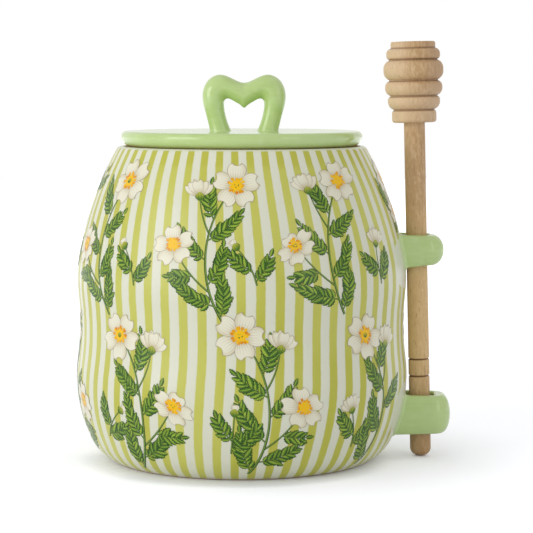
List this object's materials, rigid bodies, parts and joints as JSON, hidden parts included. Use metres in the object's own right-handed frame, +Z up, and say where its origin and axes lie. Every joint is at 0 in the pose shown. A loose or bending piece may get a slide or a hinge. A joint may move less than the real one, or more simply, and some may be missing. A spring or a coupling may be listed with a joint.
{
  "type": "honey pot with dipper",
  "caption": "Ceramic honey pot with a loose knobbed lid and two side loops that hold a turned wooden honey dipper upright.",
  "frame": {"origin": "centre of the foot ring on the pot's axis, at the height of the surface that the pot stands on", "axes": "+Z up along the pot's axis, +X towards the dipper loops, Y across them"},
  "size_m": [0.1361, 0.1202, 0.1512],
  "materials": {
    "pot_glaze": "glossy white glaze with printed green stripes and sprigs",
    "green_glaze": "glossy pale green glaze",
    "turned_wood": "smooth turned beech, unvarnished"
  },
  "bodies": {
    "pot": {"pot_body": "pot_glaze", "upper_dipper_loop": "green_glaze", "lower_dipper_loop": "green_glaze"},
    "lid": {"lid_plate": "green_glaze", "lid_handle": "green_glaze"},
    "dipper": {"dipper": "turned_wood"}
  },
  "joints": [
    {"name": "lid_lift", "type": "slide", "parent": "pot", "child": "lid", "axis": [0, 0, 1], "range_m": [0, 0.1]},
    {"name": "dipper_lift", "type": "slide", "parent": "pot", "child": "dipper", "axis": [-0.0255, 0, 0.9997], "range_m": [0, 0.12]}
  ]
}
